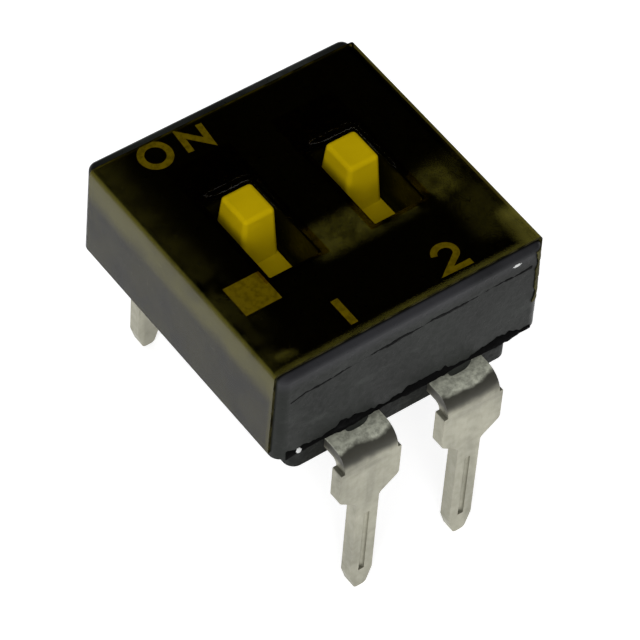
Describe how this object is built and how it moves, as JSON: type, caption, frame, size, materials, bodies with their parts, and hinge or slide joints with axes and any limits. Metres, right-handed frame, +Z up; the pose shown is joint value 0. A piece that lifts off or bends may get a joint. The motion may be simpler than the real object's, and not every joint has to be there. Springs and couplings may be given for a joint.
{
  "type": "dip switch",
  "caption": "Low slide-type DIP switch: black moulded housing, white slides in slots under an amber sealing film, and flat tinned terminals for a circuit board.",
  "frame": {"origin": "centre of the terminal pattern, on the circuit board's surface where the terminals' shoulders stop", "axes": "+X along a row of terminals, +Y towards the ON side, +Z up out of the board"},
  "size_m": [0.0066, 0.008, 0.0077],
  "materials": {
    "cover_plastic": "satin black moulding",
    "base_plastic": "dull black moulding",
    "amber_film": "clear amber film",
    "tinned_sheet": "satin tin plating",
    "slide_plastic": "white moulding",
    "contact_strip": "gold-plated spring strip",
    "sealing_resin": "cured resin"
  },
  "bodies": {
    "housing": {"housing_cover": "cover_plastic", "terminal_base": "base_plastic", "sealing_film": "amber_film", "terminal_1_near": "tinned_sheet", "terminal_1_on_side": "tinned_sheet", "terminal_2_near": "tinned_sheet", "terminal_2_on_side": "tinned_sheet", "seal_bead_left": "sealing_resin", "seal_bead_right": "sealing_resin"},
    "first_slide": {"slide_1": "slide_plastic", "bridge_contact_1": "contact_strip"},
    "second_slide": {"slide_2": "slide_plastic", "bridge_contact_2": "contact_strip"}
  },
  "joints": [
    {"name": "slide_1_travel", "type": "slide", "parent": "housing", "child": "first_slide", "axis": [0, 1, 0], "range_m": [-0.001, 0]},
    {"name": "slide_2_travel", "type": "slide", "parent": "housing", "child": "second_slide", "axis": [0, 1, 0], "range_m": [-0.001, 0]}
  ]
}
